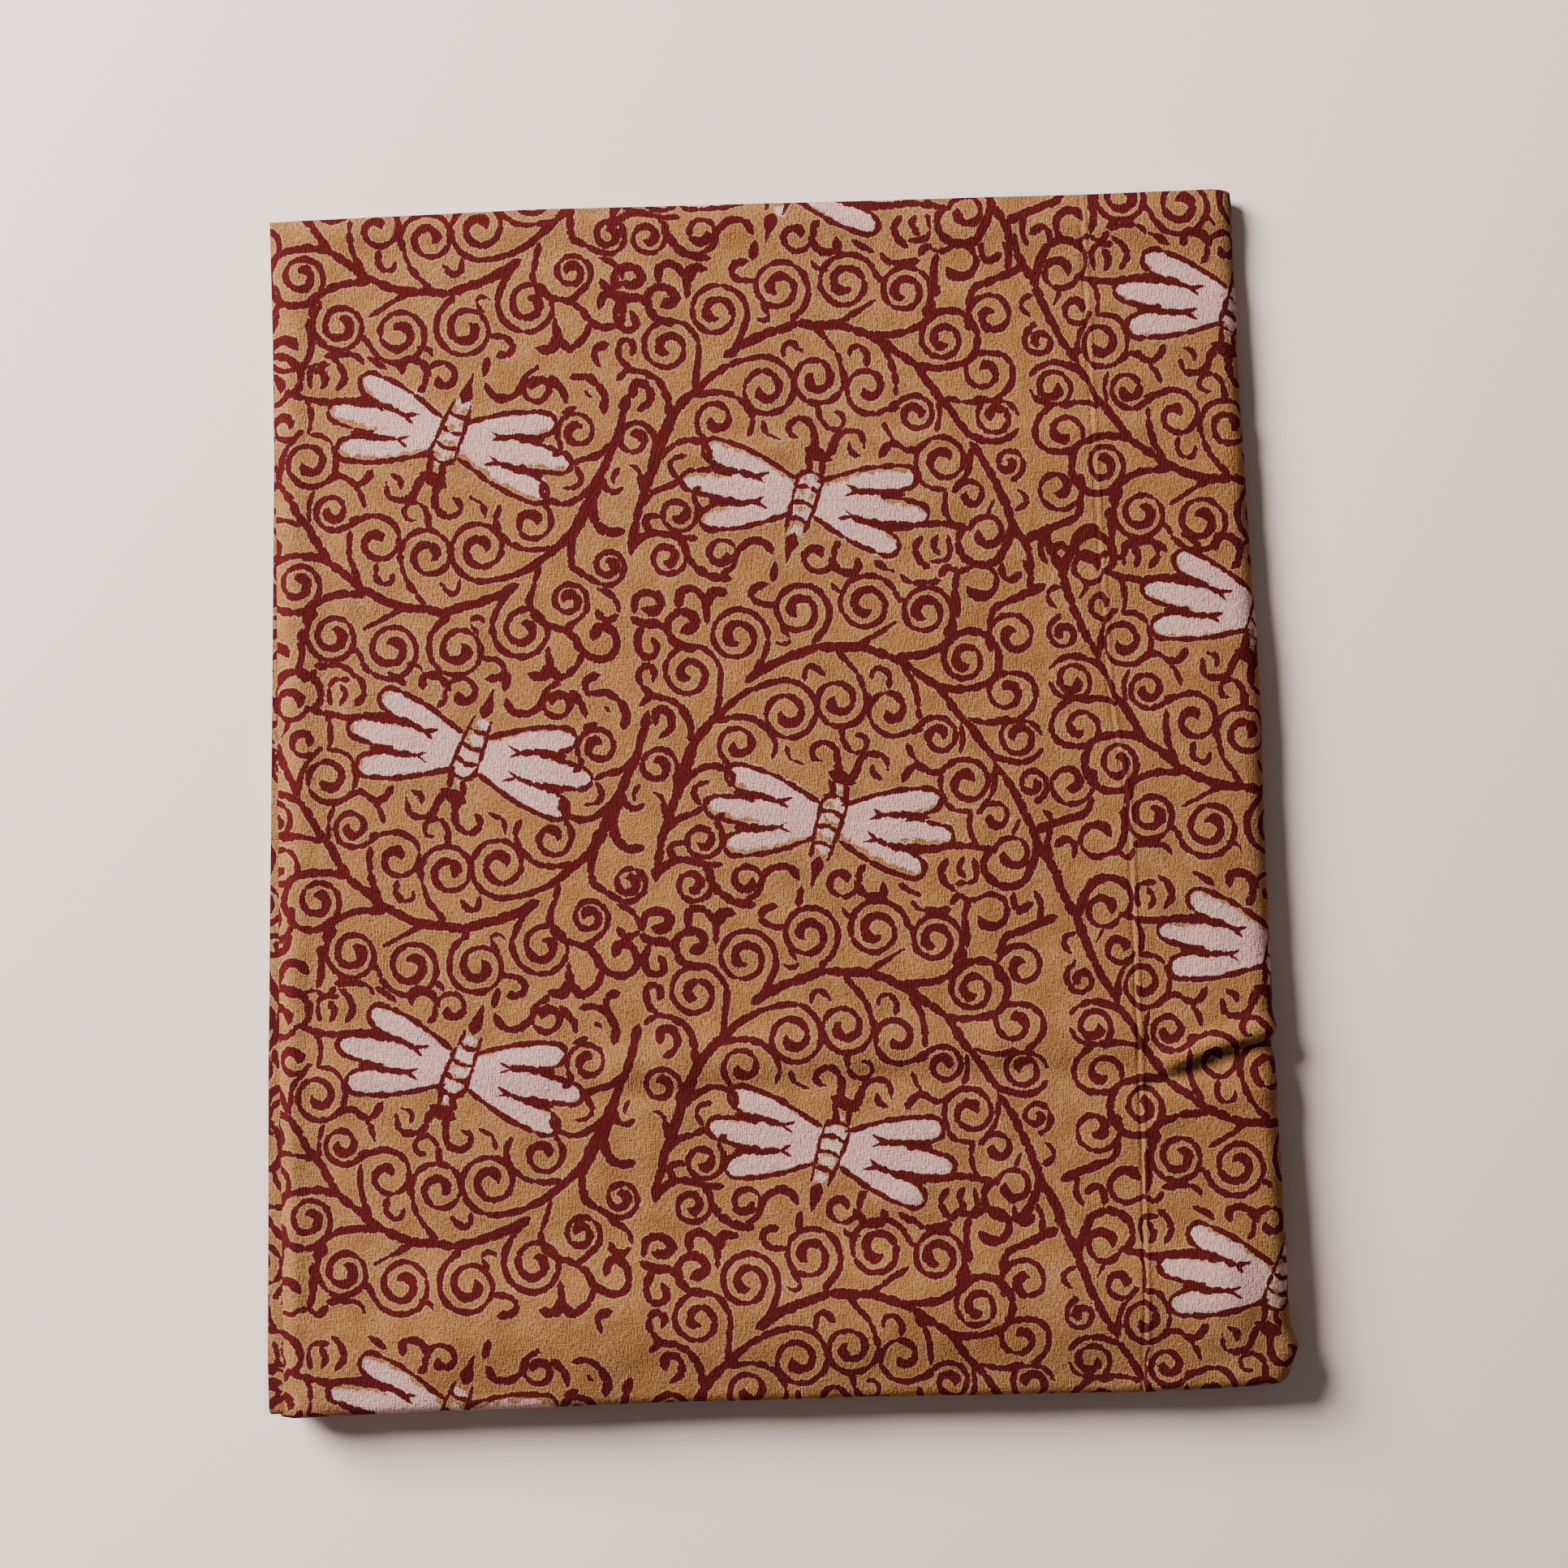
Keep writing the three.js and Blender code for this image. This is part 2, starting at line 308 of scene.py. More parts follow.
def shape_cloth(across, down, face):
    """Points of the folded cloth, and where each lies on the flat cloth, in millimetres.

    face is 0 on the printed face and 1 on the back. The top run's face is lifted into creases.
    """
    level = face * SHEET_THICKNESS
    cloth = fold_cloth(across, down, level)
    x, y, *_ = place_in_packet(cloth, across, down)
    on_top = on_first_pass(across) * on_first_pass(down) * (face == 0)
    held = smooth(cloth["across"], 0, OPEN_BAND) * smooth(cloth["down"], -CUT_BAND / 2, CUT_BAND / 2)
    cloth = fold_cloth(across, down, level - crease_lift(x, y) * on_top * held)
    x, y, left, right, top, bottom = place_in_packet(cloth, across, down)

    def near_edge(share):
        return np.clip(np.minimum(share, 1 - share) / EDGE_BAND, 0, 1)

    swell = 1 + MIDDLE_SWELL * near_edge(cloth["across"]) * near_edge(cloth["down"])
    swell = swell * (THINNING[0] + (THINNING[1] - THINNING[0]) * cloth["down"])
    points = np.stack([x, y, cloth["height"] * swell], axis=-1)

    panel, _, turn = pass_at(across, PANELS)
    run, _, bend = pass_at(down, RUNS)
    bend_lengths = math.pi * np.array([SIDE_REACH, stack_height(1), SIDE_REACH, 0])
    end_lengths = math.pi * np.array([END_REACH] * RUNS)
    flat_x = left + (right - left) * (panel + np.minimum(across - panel * STEP, 1))
    flat_x += np.concatenate([[0], np.cumsum(bend_lengths)])[panel] + turn * bend_lengths[panel]
    flat_y = top + (bottom - top) * (run + np.minimum(down - run * STEP, 1))
    flat_y -= np.concatenate([[0], np.cumsum(end_lengths)])[run] + bend * end_lengths[run]
    pinch_x = np.interp(-y, [-at for _, at in PINCHED_CREASE], [at for at, _ in PINCHED_CREASE])
    past_pinch = np.where(across > 1, 1, smooth(x - pinch_x, -PINCH_HALF_WIDTH, PINCH_HALF_WIDTH))
    flat_x += PINCHED_AWAY * past_pinch * on_first_pass(down)
    return points, np.stack([flat_x, flat_y], axis=-1)


# The print


BLOCK_WIDTH = 110.5
BLOCK_HEIGHT = 87.0
LINE_HALF_WIDTH = 0.8
WING_LINE_HALF_WIDTH = LINE_HALF_WIDTH * 0.85
LINE_SPACING = 0.6  # from point to point of a line
WINGS_LEAN = math.radians(10.3)
BODY_LEAN = math.radians(18.5)
DRAGONFLY_MIDDLE = np.array([0.3, 0.3])

# A scroll's line swells at its stem and just before its tip
SCROLL_SHARES = [0, 0.15, 0.55, 0.84, 0.93, 1]
SCROLL_WIDTHS = [1.4, 1.05, 0.9, 1.5, 2.0, 1.0]
SCROLL_POINTS = 26  # points for each turn
LEAD_POINTS = 12  # points from the stem to the circle
LEAD_BEND = 0.55

# The block's scrolls, seen head up from near the dragonfly's middle: a line leaves its stem, meets
# a circle at an angle and winds into it, to the left (1) or to the right (-1)
SCROLLS = (
    # x, y, first radius, last radius, start, turns, hand, stem_x, stem_y
    # under the arch of the main stem
    (-23, 22.9, 6, 1.6, 235, 1.15, -1, -26.8, 16.8),
    (-9.4, 30.8, 8.9, 1.8, 95, 1.75, -1, -27.8, 31.3),
    (4.6, 33.3, 7.8, 1.6, 345, 1.55, -1, 12, 35),
    (18.7, 30.2, 7.6, 1.3, 300, 1.25, -1, 26, 24.5),
    (31.3, 22.3, 5.6, 1.4, 115, 1.35, -1, 24.6, 24),
    (38.4, 9.4, 7, 1.8, 130, 1.30, -1, 31.3, 12.6),
    (45.6, -0.2, 4.4, 1.6, 150, 0.95, -1, 41.2, 1.4),
    (49.8, -10.5, 5, 2.6, 165, 0.98, -1, 43.8, -9),
    # outside the arch
    (39.6, 42.8, 6.4, 1.7, 125, 1.45, 1, 37.2, 49.4),
    (50.6, 33.4, 5.6, 1.5, 140, 0.95, 1, 47.6, 38.4),
    (53.2, 20.9, 5.6, 1.7, 120, 1.20, 1, 47, 25.3),
    (55.9, 8.2, 4.7, 1, 285, 1.35, 1, 57.3, 3.4),
    (53, 48.6, 7, 1.4, 185, 1.30, -1, 46.6, 45.6),
    # the row over the arch
    (-22.1, 52.2, 8.7, 1.7, 338, 1.80, 1, -17.4, 42.2),
    (-4.8, 58.4, 8.6, 1.8, 315, 1.75, 1, -1.2, 50),
    (13.5, 59.2, 8.8, 1.9, 10, 1.80, 1, 23.4, 60),
    (29.4, 56.4, 7.8, 1.9, 315, 1.85, 1, 35.4, 49.6),
    (44.9, 63.8, 4.9, 3.8, 125, 0.78, -1, 39.4, 67),
    # under the wings
    (2.9, -15.6, 5, 1.5, 10, 1.00, -1, 9, -12),
    (-23, -13.9, 5, 1.8, 285, 1.20, 1, -22.4, -19.4),
    # left of the wings
    (-34.3, -2.4, 6, 1.5, 40, 1.45, -1, -28.6, 4),
)
# Stems, hooks and drops: smooth lines through a few points, as wide as given at both ends
STEMS = (
    # half width at the first and at the last point, points
    # the main stem arches over the dragonfly and runs down on its right
    (1.3, 1.3, (-19.5, 40.4), (-15, 43.2), (-10, 45.4), (-4, 47.3), (-0.6, 48.4)),
    (1.3, 1.1, (0.4, 48.4), (5, 47.8), (11, 47.6), (17, 45.6), (22.6, 42.8), (27, 39.4), (32, 36)),
    (1.2, 1, (32, 36), (35.1, 31), (37.6, 27.2), (40.1, 24.6), (42.6, 20.4), (45.8, 16)),
    (1, 1.3, (46.2, 14), (49.8, 8.5), (52, 4.1), (53.9, -0.3), (55.8, -5.2), (57, -9.4)),
    (1.4, 0.9, (57, -9.4), (59.4, -12.8), (61, -17), (61.4, -21)),
    (1, 1.3, (43.6, -9.2), (41.8, -12), (42.2, -15.8), (45.4, -18.7), (49.6, -19.2), (53.2, -17),
     (56.8, -9)),
    # its left foot
    (1.1, 1.6, (-27.6, 31.6), (-31.9, 27.9), (-35, 24.1), (-36.8, 20.2)),
    (1.7, 1.2, (-36.8, 20.2), (-38.8, 15.2), (-40.4, 10.8), (-42, 7), (-43.4, 3)),
    (1.2, 1.2, (-43.4, 3), (-45.2, -1.5), (-46, -5.4), (-46.8, -9)),
    (1.7, 1, (-46.8, -9.4), (-47.4, -12.4)),
    # lines that close round a scroll
    (0.9, 0.8, (-28.5, 29.8), (-22.5, 30.4), (-17.6, 29), (-14.2, 25.4), (-13.1, 22), (-14.1, 18.8)),
    (0.9, 0.7, (5, 46.8), (7.6, 43.8), (9.8, 41), (11.2, 37.9), (12, 34.6)),
    (1, 0.8, (23, 41.4), (25.3, 36.6), (26.1, 32.9), (26.2, 28)),
    (0.6, 0.7, (37.5, 25.6), (37.8, 21), (36.8, 17.6)),
    (0.7, 0.9, (22.7, 20.6), (23.6, 17.8), (25.3, 15.4)),
    (1.1, 0.8, (21.4, 11.4), (22.8, 13.6), (25.3, 14.9), (28, 13), (30.2, 12.5), (32.8, 14.2)),
    (0.9, 0.6, (46, 12.4), (45.8, 9), (44.4, 5.4), (41.8, 2.8)),
    (0.7, 0.7, (31.5, 12), (31, 8.4), (32.8, 3.4), (35.4, 1.9), (38.6, 1.7)),
    (0.6, 0.9, (38.9, 1.8), (38.4, -2), (38.8, -5.3), (39.8, -7.6)),
    (0.3, 0.8, (52, -1.4), (50.8, -3.4), (49.8, -5.8)),
    (1.1, 0.9, (22.6, -8.4), (28.2, -8.1), (34.2, -7.4), (39, -7.9), (43.9, -9)),
    # branches outside the arch and the lines that they wind round
    (1.1, 0.9, (21.5, 44.6), (28, 44.9), (33.2, 46.8), (36.2, 49.6), (37.2, 53)),
    (1, 1.1, (36.6, 49.6), (41, 50.6), (45.6, 49.4), (48.4, 45.6), (48.8, 41.6), (47.6, 38.4)),
    (1.2, 0.9, (32, 35.6), (37, 34.9), (42, 35.3), (46, 36.5), (48.2, 38.2)),
    (0.9, 0.9, (47.6, 38.4), (51.4, 38.7), (55.4, 38), (57.9, 35.4), (58.2, 31.9), (56.6, 28.6), (53.5, 26)),
    (0.8, 0.7, (40.1, 26.7), (43.5, 25.6), (48.5, 25.3), (53, 25.6), (57, 24.6), (59.2, 21.5)),
    (1.1, 0.7, (45.6, 16.2), (49.5, 14.8), (53.5, 14.2), (57.2, 15.6), (58.9, 17.4)),
    (0.6, 0.9, (58.5, 1), (60.4, -0.8), (60.2, -3.4), (58, -4.4)),
    (0.9, 1.3, (46.6, 52.6), (48.4, 56.6), (53, 58.4), (58.4, 60.6), (61.6, 61.8)),
    # hooks of the row over the arch
    (1, 0.5, (11, 47.9), (16, 51), (21.2, 54)),
    (0.6, 1.1, (23.4, 67), (24.6, 65), (28, 64.2), (33.2, 64.6)),
    (0.9, 1.2, (38.6, 66), (37.6, 62), (37.8, 58), (38, 55.4)),
    (1, 0.8, (34.2, 66.4), (36, 68.4), (38.6, 67)),
    (0.8, 1.2, (51, 68.4), (50.9, 65.6), (52.8, 63.8), (55.4, 65.4)),
    (0.8, 1, (57, 68.6), (58.4, 65.6), (57.9, 61.6)),
    (0.5, 0.9, (4.6, 65.2), (5.6, 63.4), (8, 63)),
    (0.7, 1.2, (-10.6, 60.6), (-13.5, 60.6), (-16.5, 61.4), (-17.6, 63.6), (-16.2, 65.6), (-13.8, 66)),
    (0.5, 0.8, (-11.5, 50.6), (-10.4, 49.5), (-8.6, 49.6), (-8, 50.4)),
    (0.9, 0.4, (-9.6, 53.8), (-8.6, 52.6), (-7.8, 51.2)),
    # the row's left end
    (1.8, 1.1, (-29.8, 62), (-27.8, 64.8), (-24.8, 64.4)),
    # antennae and hooks over the head
    (1.2, 0.7, (3, 12.5), (3.7, 17), (2.8, 20.8), (-0.2, 22.5), (-3, 21), (-3.4, 18.4), (-1.2, 17.4)),
    (1.2, 0.7, (7.4, 12.4), (8.6, 14.6), (9.8, 17.4), (13, 18.7), (16.2, 17.6), (17, 14)),
    (0.5, 1, (13, 15.2), (12.8, 13), (15, 11.9)),
    (0.9, 0.6, (5, 26), (5.4, 22), (7.4, 19.4), (10.4, 19.2), (12, 21.6), (11, 23.6), (9, 23.8)),
    (0.6, 1, (13.9, 39.1), (14.3, 41.2), (16.6, 41.7), (18.7, 39.8), (18.5, 36.8)),
    (0.6, 1, (-4.2, 39.6), (-4, 42.3), (-1.8, 43.4), (0.6, 41)),
    (0.8, 0.4, (-10.2, 21.6), (-9.4, 18.6), (-5.4, 16.6)),
    # hooks left of the wings
    (1, 0.9, (-40.2, 11.4), (-36, 15.4), (-31.6, 17.4), (-28, 16.8), (-25.6, 15.2), (-25, 12.4)),
    (0.8, 0.7, (-34.4, 7.4), (-36, 10), (-34.8, 12.6), (-31.8, 13.2)),
    (1, 0.9, (-43.6, 1), (-40.6, 3.6), (-36.4, 4.9), (-34, 6.2)),
    # arches and hooks under the wings
    (1, 1.1, (-19.6, -16.6), (-18, -13), (-15.6, -10.9), (-12.6, -10.5), (-10.2, -11.6), (-9, -13.8)),
    (0.8, 1.2, (-8.2, -17), (-8.9, -20.8)),
    (1.2, 1.2, (7, -16.6), (8.8, -19.2), (11.8, -20.2), (14.2, -19.4), (14.2, -17)),
    (1, 0.7, (19, -17.4), (21.2, -19), (23.8, -20.2)),
    (0.9, 1, (31.6, -11.3), (29.9, -14), (30.9, -17.3), (33.1, -19.2)),
    (0.7, 1.2, (35.9, -11.2), (34.8, -13.4), (36, -15.6)),
    (0.7, 0.7, (39, -11.2), (39.6, -14.6), (38.6, -17.3), (34.2, -17.8)),
)

# The block's left side, which prints differently in the upright columns (1) and the turned ones (-1)
LEFT_SCROLLS = {
    1: (
        (-35.6, 42.9, 8.6, 1.3, 352, 1.75, 1, -28.4, 31),
        (-45.4, 18, 5.7, 1.6, 330, 1.40, 1, -39.8, 12.6),
        (-37.6, -14.4, 5.7, 1.3, 50, 1.45, -1, -33.4, -9),
    ),
    -1: (
        (-34.1, 43.8, 5.6, 1.4, 130, 1.60, 1, -33.6, 51.6),
        (-44.4, 33.9, 5.4, 1.4, 60, 1.60, 1, -34.4, 34.6),
    ),
}
LEFT_STEMS = {
    1: (
        (1.2, 1, (-37.4, 61.5), (-37, 65), (-34.4, 66), (-31.6, 64.4), (-30, 61), (-30, 57)),
        (1, 1.6, (-41, 56.4), (-39.4, 59), (-36.2, 59.8), (-33.4, 58.2), (-33.2, 55.8), (-36, 54.6)),
        (1, 1.3, (-41, 57.6), (-40.4, 53.6), (-38, 50.8), (-34, 49.8)),
        (1, 1.4, (-49.6, 61), (-49.2, 63.8), (-46.8, 65.4), (-43.4, 64.8), (-42, 62.2),
         (-44, 60.4), (-46.4, 60.8)),
        (1.2, 1.3, (-49.8, 58.4), (-47, 57), (-43.4, 56.8), (-40.8, 55.4)),
        (1.1, 1, (-48, 56), (-49.4, 52.4), (-48.4, 48.8), (-45.8, 48), (-43.8, 50), (-45, 52.6)),
        (0.9, 0.9, (-45.4, 41.8), (-44.8, 44), (-46.6, 45.6), (-48.8, 44.6), (-49, 41.4),
         (-47.4, 38.6), (-44.4, 37)),
        (0.8, 1.2, (-49.2, 35), (-46.6, 37), (-42, 36.4), (-38.4, 34), (-36.2, 29.6), (-35.7, 24.6)),
        (1, 1.3, (-43.8, 26.3), (-41.3, 28), (-40.8, 31), (-42.6, 33.5), (-45.2, 33), (-45.4, 30.4)),
        (0.5, 1.2, (-47.2, 11.2), (-45.2, 10.4), (-44, 7.4), (-43.4, 3.6)),
        (1, 0.8, (-42, -7.2), (-43.4, -4.4), (-41.4, -2.9), (-38.6, -3.4)),
        (1.2, 0.9, (-46.8, -10.8), (-44.2, -8.6), (-41, -7.5), (-37, -8.1), (-33.6, -9.1), (-29.4, -9.3)),
        (1, 1.3, (-33, -10.4), (-31.9, -14.6), (-29, -18), (-25.4, -20), (-21.6, -20.6)),
    ),
    -1: (
        (0.7, 1.1, (-25.6, 35.6), (-24.6, 39.5), (-23.4, 44), (-24.6, 48.2), (-28, 50.4),
         (-33, 51.8), (-36.4, 54)),
        (1.1, 1.1, (-36.4, 54), (-38, 56.8), (-41, 58.8), (-44, 59.3), (-46.6, 58),
         (-47.7, 55.2), (-47, 52)),
        (1.1, 1.4, (-47, 52), (-44.8, 50.3), (-42.3, 50.8), (-41.5, 53.2)),
        (0.9, 1, (-38.4, 58), (-37.6, 61), (-35.4, 63.4), (-32.8, 65)),
        (1.4, 0.9, (-32.8, 65), (-30.4, 62.6), (-29.4, 59.6), (-29.2, 57)),
        (0.6, 1.4, (-40.8, 69.4), (-39.6, 67), (-40.4, 64.8), (-42.4, 64)),
        (0.9, 1.2, (-47.3, 47.4), (-45.4, 48.7), (-43.3, 48.3), (-42.3, 46.6)),
        (0.6, 1, (-48, 46), (-47.4, 43.6), (-45.4, 41.6), (-42.2, 40.2)),
        (1.4, 1, (-36, 20.6), (-34.6, 25), (-33.9, 29.5), (-34.6, 34.4)),
        (1.2, 1.7, (-47.4, 24.2), (-44, 24.8), (-41, 22.8), (-39.4, 19), (-39.4, 15), (-41, 10.6)),
        (0.7, 1.1, (-47.2, 12.6), (-45, 13.9), (-42.6, 12.6), (-41.2, 9.4)),
        (0.9, 0.5, (-45.6, 7.8), (-44.6, 9.4), (-44.8, 11.2)),
        (0.7, 0.9, (-33.4, -8.8), (-30.6, -7.6)),
        (1.3, 0.9, (-41.2, -8.6), (-41.4, -11.6), (-39.8, -15), (-36.4, -17.4), (-32, -17)),
        (0.9, 0.6, (-37, -12.4), (-36, -13.2)),
        (0.9, 1.3, (-30.6, -10.6), (-29.8, -13.4), (-26.8, -16.6)),
    ),
}

# The dragonfly's right wing, level, with the lobes from root to tip and the wedges between them
LOBES = (
    # from_x, from_y, to_x, to_y, half_width
    (4.5, 2.4, 26.2, 9.8, 3.8),
    (6, 0.4, 31.2, 0.5, 3.3),
    (4.5, -1.6, 24.4, -9, 3.6),
)
# The shares of each lobe's length over which its upper and its lower side are outlined
LOBE_OUTLINES = ((0, 0.70), (0.62, 0.62), (0.68, 0))
LOBE_TIP = 0.72  # a lobe's width at its tip, of its full width
LOBE_FULLEST = 1.2  # above 1 it is fullest past its middle
OUTLINE_GAP = 0.5  # between the white and the line round it
SIDE_POINTS = 14
TIP_POINTS = 11
WEDGES = (
    # half width at the first and at the last point, points
    (1.15, 0.75, (26, 5), (20, 4.9), (14, 4.2)),
    (0.65, 0.15, (14, 4.2), (10.6, 5.7)),
    (0.65, 0.15, (14, 4.2), (11, 2.6)),
    (1.15, 0.75, (24.5, -4.4), (18, -3.8), (13.4, -2.7)),
    (0.65, 0.15, (13.4, -2.7), (10.9, -0.9)),
    (0.65, 0.15, (13.4, -2.7), (9.6, -3.9)),
)
# Its body, upright
BANDS = (
    # height, half_width, half_height
    (8.9, 1.6, 1.3),
    (5.2, 3.2, 1.8),
    (0.9, 3, 1.7),
    (-3.5, 2.7, 1.6),
    (-8.2, 2.1, 1.6),
)
BODY_LINES = (
    # half width at the first and at the last point, points
    (2, 1.8, (-2.2, 13.2), (2.4, 12.6)),
    (0.9, 0.6, (-2.6, 11), (-1, 8.8), (-3.2, 5.6)),
    (0.9, 0.6, (1.8, 11), (2.4, 8.4), (3.4, 5.4)),
    (0.5, 0.5, (-3.5, 6), (-3.3, 1), (-3, -4), (-2.4, -9.5)),
    (0.5, 0.5, (3.5, 6), (3.3, 1), (3, -4), (2.4, -9.5)),
    (0.5, 0.5, (-3.4, 6.9), (0, 7.7), (3.4, 6.9)),
    (0.6, 0.6, (-3.3, 2.6), (0, 3.5), (3.3, 2.6)),
    (0.6, 0.6, (-3.1, -1.7), (0, -0.8), (3.1, -1.7)),
    (0.6, 0.6, (-2.8, -6.3), (0, -5.5), (2.8, -6.3)),
    (2, 0.15, (0, -11.4), (0, -14.5), (0.2, -18.4)),
)

# Impressions of the block that show on the top layer: where the dragonfly's middle lies
SEEN_IMPRESSIONS = (
    # column, x, y, tilt in degrees
    (0, -82.3, 102.3, -4.5),
    (0, -79.4, 16.1, -4.5),
    (0, -84.7, -69.4, -4.0),
    (0, -90.1, -163.5, -5.0),
    (1, 10.3, 169.1, 0.0),
    (1, 13.0, 81.2, 0.0),
    (1, 16.7, -7.2, 1.0),
    (1, 14.2, -95.2, -1.0),
    (2, 134.7, 131.3, 0.6),
    (2, 138.8, 46.8, -4.0),
    (2, 140.0, -44.2, -1.0),
    (2, 136.6, -134.6, -1.5),
)
# Impressions on the rest of the cloth
COLUMNS = range(-1, 11)
FIRST_COLUMN = -90.0  # the middle of column 0
FIRST_ROW = 140
COLUMN_DROP = 23  # how much lower each column starts
ROWS_ABOVE = 2
ROWS_BELOW = 30
FLY_OFF_MIDDLE = 6.0
STAMPING_SEED = 5
STAMPING_ERROR = 1.5
PASTE_ERROR = 1.2  # how far the white paste slips off its outline
STAMPING_TILT = 2.0  # degrees
BLOCK_REACH = (-54.0, 66.0, -27.0, 73.0)
PIECE_STEPS = 6  # a line is looked up in short pieces of so many straight steps
LINES_PER_FACE = 4
FACES_AT_ONCE = 3000
NO_LINE_NEAR = 99.0
NO_INK = -9  # half width of a line that isn't there
NO_WHITE = -9.0
UNPRINTED = -5.0  # the same as no ink, on faces that aren't looked up


def line_through(points):
    """A smooth line through points."""
    points = [np.array(point, float) for point in points]
    ends = [2 * points[0] - points[1]] + points + [2 * points[-1] - points[-2]]
    line = []
    for before, start, end, after in zip(ends, ends[1:], ends[2:], ends[3:]):
        count = max(2, int(np.linalg.norm(end - start) / LINE_SPACING))
        for t in np.arange(count) / count:
            bend = 2 * before - 5 * start + 4 * end - after
            twist = 3 * start - before - 3 * end + after
            line.append(0.5 * (2 * start + (end - before) * t + bend * t ** 2 + twist * t ** 3))
    line.append(points[-1])
    return np.array(line)


def scroll(x, y, radius, last_radius, start, turns, hand, stem_x, stem_y):
    """A line that leaves its stem, meets a circle and winds into it, and its half widths."""
    first = math.radians(start)
    begin = np.array([x + radius * math.cos(first), y + radius * math.sin(first)])
    heading = hand * np.array([-math.sin(first), math.cos(first)])
    stem = np.array([stem_x, stem_y])
    bend = begin - heading * np.linalg.norm(begin - stem) * LEAD_BEND
    lead = [
        (1 - t) ** 2 * stem + 2 * t * (1 - t) * bend + t * t * begin
        for t in np.linspace(0, 1, LEAD_POINTS)[:-1]
    ]
    share = np.linspace(0, 1, int(turns * SCROLL_POINTS))
    reach = radius + (last_radius - radius) * share
    angle = first + hand * share * turns * 2 * math.pi
    winding = np.stack([x + reach * np.cos(angle), y + reach * np.sin(angle)], axis=1)
    line = np.concatenate([np.array(lead), winding])
    along = np.linspace(0, 1, len(line))
    return line, LINE_HALF_WIDTH * np.interp(along, SCROLL_SHARES, SCROLL_WIDTHS)


def widening_line(first_half, last_half, *points):
    line = line_through(points)
    return line, np.linspace(first_half, last_half, len(line))


def lobe_half_width(share, half_width):
    """A lobe is fullest a little past its middle and slim at its round tip."""
    fullness = np.sin(np.clip(share, 0, 1) ** LOBE_FULLEST * math.pi)
    return half_width * (LOBE_TIP + (1 - LOBE_TIP) * fullness)


def lobe_outline(lobe, first_share, last_share):
    """A lobe's outline, from a share of its upper side round the tip to one of its lower side."""
    from_x, from_y, to_x, to_y, half_width = lobe
    root, tip = np.array([from_x, from_y]), np.array([to_x, to_y])
    length = np.linalg.norm(tip - root)
    along = (tip - root) / length
    up = np.array([-along[1], along[0]])

    def side(way, first, last):
        return [root + along * length * s + way * up * (lobe_half_width(s, half_width) + OUTLINE_GAP)
                for s in np.linspace(first, last, SIDE_POINTS)]

    reach = lobe_half_width(1, half_width) + OUTLINE_GAP
    round_tip = [tip + reach * (along * math.cos(turn) + up * math.sin(turn))
                 for turn in np.radians(np.linspace(90, -90, TIP_POINTS)[1:-1])]
    return np.array(side(1, first_share, 1) + round_tip + side(-1, 1, last_share))


def turned(points, angle):
    cos, sin = math.cos(angle), math.sin(angle)
    return points @ np.array([[cos, sin], [-sin, cos]])


def block_lines(way):
    """Every line that an upright (1) or a turned (-1) block prints, with its half widths."""
    made = [scroll(*row) for row in SCROLLS + LEFT_SCROLLS[way]]
    made += [widening_line(*row) for row in STEMS + LEFT_STEMS[way]]
    for side in (1, -1):
        for lobe, shares in zip(LOBES, LOBE_OUTLINES):
            line = turned(lobe_outline(lobe, *shares) * [side, 1], -WINGS_LEAN) + DRAGONFLY_MIDDLE
            made.append((line, np.full(len(line), WING_LINE_HALF_WIDTH)))
        for row in WEDGES:
            line, half = widening_line(*row)
            made.append((turned(line * [side, 1], -WINGS_LEAN) + DRAGONFLY_MIDDLE, half))
    for row in BODY_LINES:
        line, half = widening_line(*row)
        made.append((turned(line, -BODY_LEAN) + DRAGONFLY_MIDDLE, half))
    return made


def white_on_block(places):
    """Above 0 inside the white of the dragonfly; the value is a length."""
    off_middle = places - DRAGONFLY_MIDDLE
    wing, body = turned(off_middle, WINGS_LEAN), turned(off_middle, BODY_LEAN)
    value = np.full(len(places), NO_WHITE)
    for from_x, from_y, to_x, to_y, half_width in LOBES:
        run_x, run_y = to_x - from_x, to_y - from_y
        off_x, off_y = np.abs(wing[:, 0]) - from_x, wing[:, 1] - from_y
        share = np.clip((off_x * run_x + off_y * run_y) / (run_x ** 2 + run_y ** 2), 0, 1)
        off = np.hypot(off_x - share * run_x, off_y - share * run_y)
        value = np.maximum(value, lobe_half_width(share, half_width) - off)
    for height, half_width, half_height in BANDS:
        off = np.hypot(body[:, 0] / half_width, (body[:, 1] - height) / half_height)
        value = np.maximum(value, (1 - off) * min(half_width, half_height))
    return value


